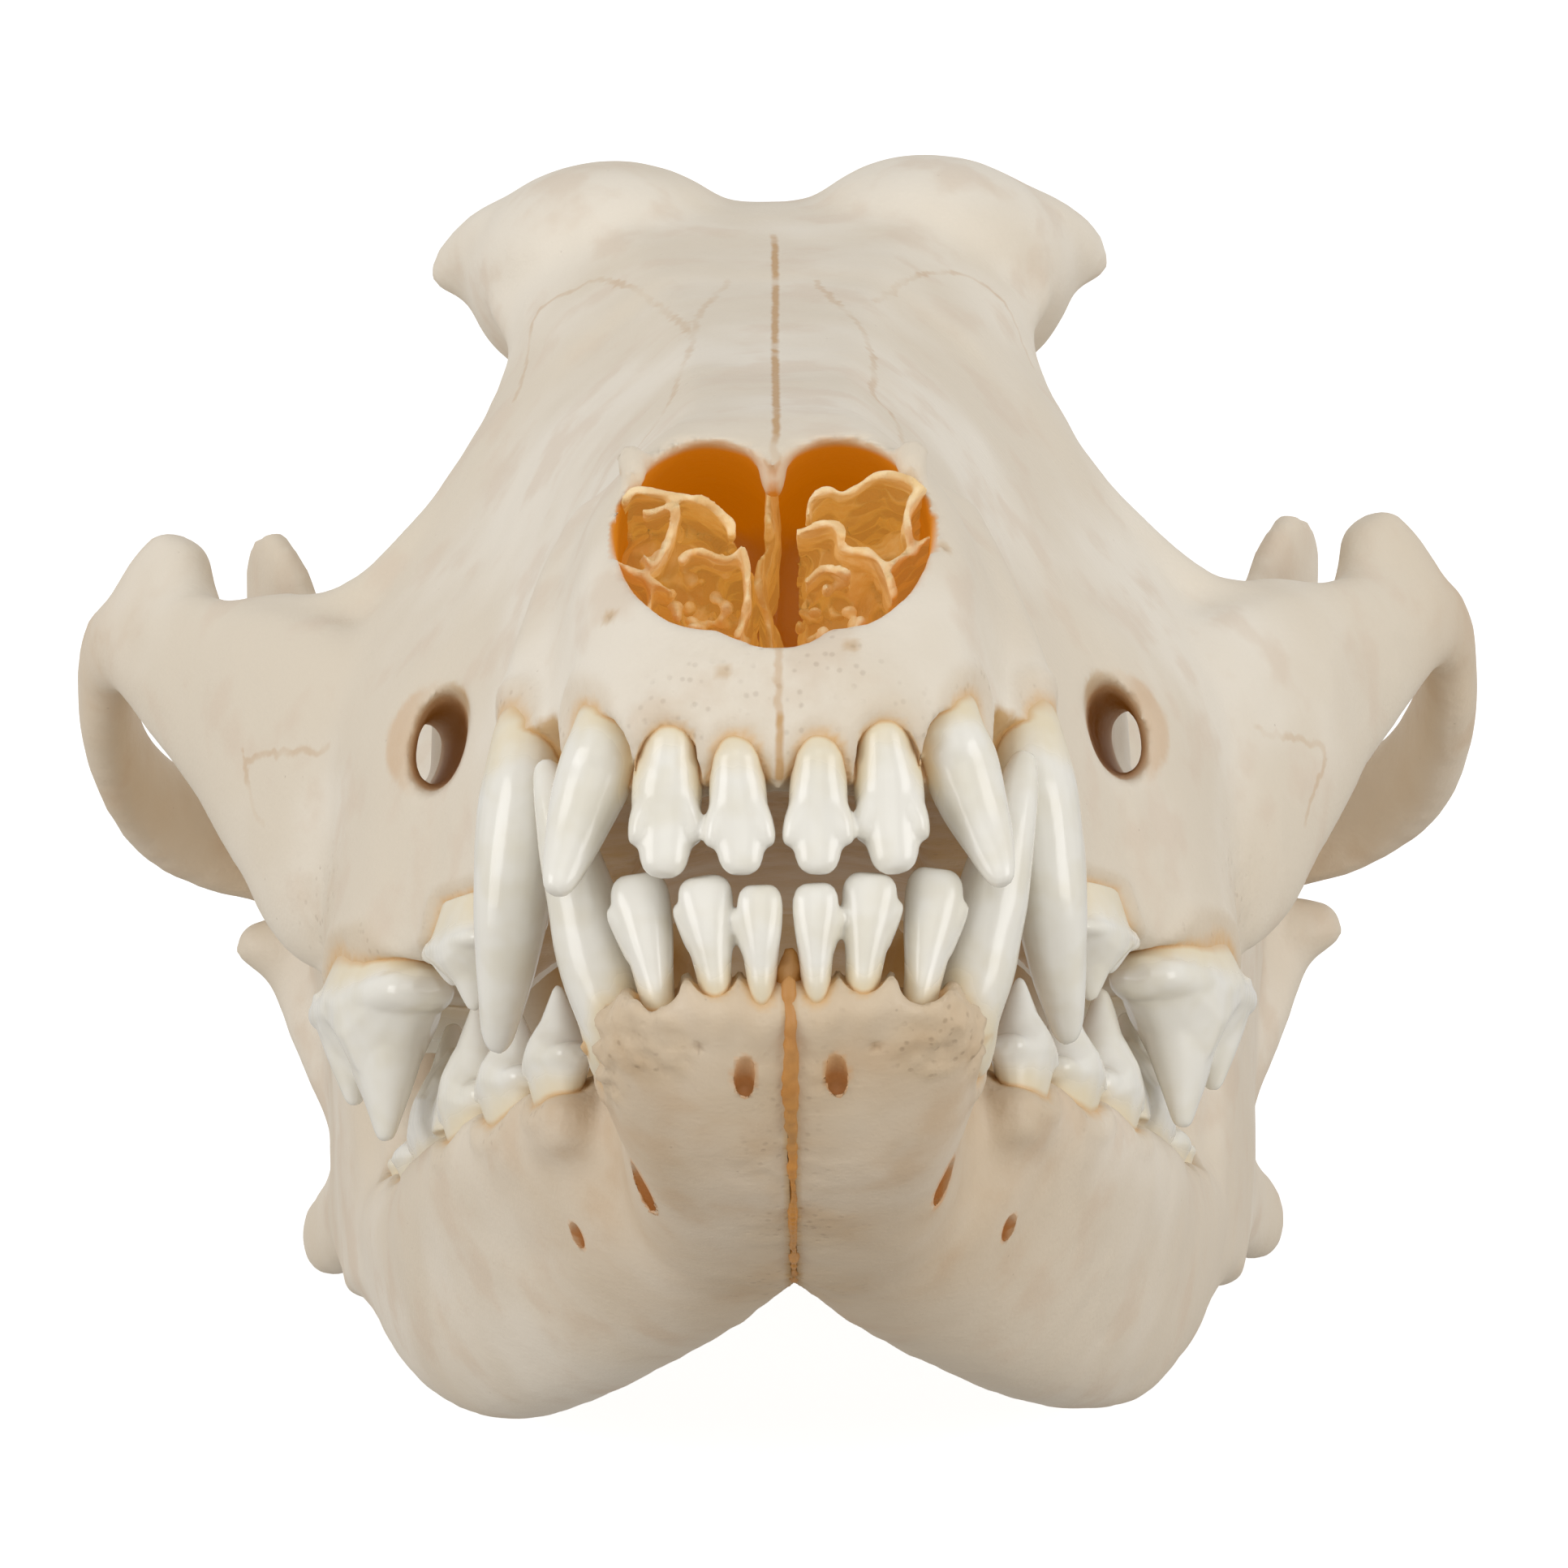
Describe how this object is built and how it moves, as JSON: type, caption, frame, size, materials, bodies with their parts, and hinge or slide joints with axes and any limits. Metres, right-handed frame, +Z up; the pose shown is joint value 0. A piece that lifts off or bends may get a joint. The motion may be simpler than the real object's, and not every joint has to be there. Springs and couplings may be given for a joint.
{
  "type": "dog skull",
  "caption": "Life-size dog skull resting on its lower jaws, mouth a little open, with long muzzle, cheek arches, braincase and full teeth.",
  "frame": {"origin": "centre of the bottom of the bounding box, on the surface that the lower jaws rest on", "axes": "+X towards the animal's left, +Y from the front teeth to the back of the head, +Z up"},
  "size_m": [0.1113, 0.21, 0.0916],
  "materials": {
    "bone": "dry, cleaned bone, smooth and matt with a faint sheen",
    "tooth": "tooth enamel, glossy, ochre at the necks"
  },
  "bodies": {
    "root": {"muzzle": "bone", "braincase": "bone", "zygomatic_arch_left": "bone", "zygomatic_arch_right": "bone", "mandible_left": "bone", "mandible_right": "bone"}
  },
  "joints": []
}
